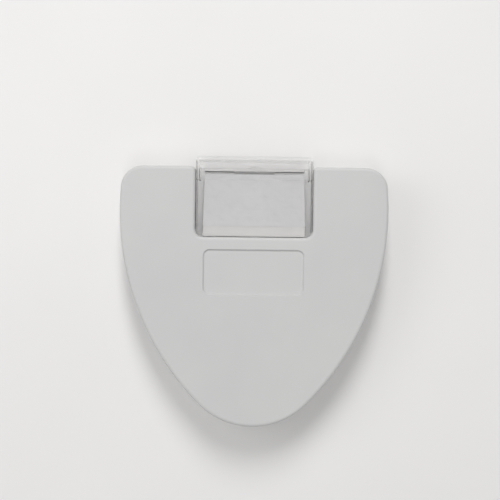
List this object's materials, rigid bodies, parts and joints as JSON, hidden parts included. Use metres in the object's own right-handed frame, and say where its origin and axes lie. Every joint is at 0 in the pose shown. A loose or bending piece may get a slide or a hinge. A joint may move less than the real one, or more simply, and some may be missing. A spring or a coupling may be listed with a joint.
{
  "type": "chalk wheel marker",
  "caption": "Flat rounded-triangle hand-held chalk wheel with a slide-in clear powder tank, a toothed marking wheel and a clear pull-off cap.",
  "frame": {"origin": "centre of the flat back face, midway between the tip and the flat edge of the body", "axes": "+X across the width, +Y towards the flat edge with the wheel, +Z from the back face to the front face"},
  "size_m": [0.062, 0.0623, 0.012],
  "materials": {
    "white_shell": "satin moulded ABS",
    "white_insert": "satin moulded acetal",
    "clear_plastic": "polished clear polystyrene",
    "chalk": "loose white chalk powder",
    "plated_steel": "nickel-plated"
  },
  "bodies": {
    "body": {"front_shell": "white_shell", "back_shell": "white_shell"},
    "cartridge": {"tank": "clear_plastic", "tank_lid": "white_insert", "wheel_carrier": "white_insert", "wheel_axle": "plated_steel", "chalk_powder": "chalk"},
    "wheel": {"marking_wheel": "plated_steel"},
    "cap": {"wheel_cap": "clear_plastic"}
  },
  "joints": [
    {"name": "cartridge_slide", "type": "slide", "parent": "body", "child": "cartridge", "axis": [0, 1, 0], "range_m": [0, 0.02]},
    {"name": "wheel_spin", "type": "hinge", "parent": "cartridge", "child": "wheel", "pos_m": [0, 0.027, 0.006], "axis": [0, 0, 1], "continuous": true},
    {"name": "cap_pull", "type": "slide", "parent": "cartridge", "child": "cap", "axis": [0, 1, 0], "range_m": [0, 0.008]}
  ]
}
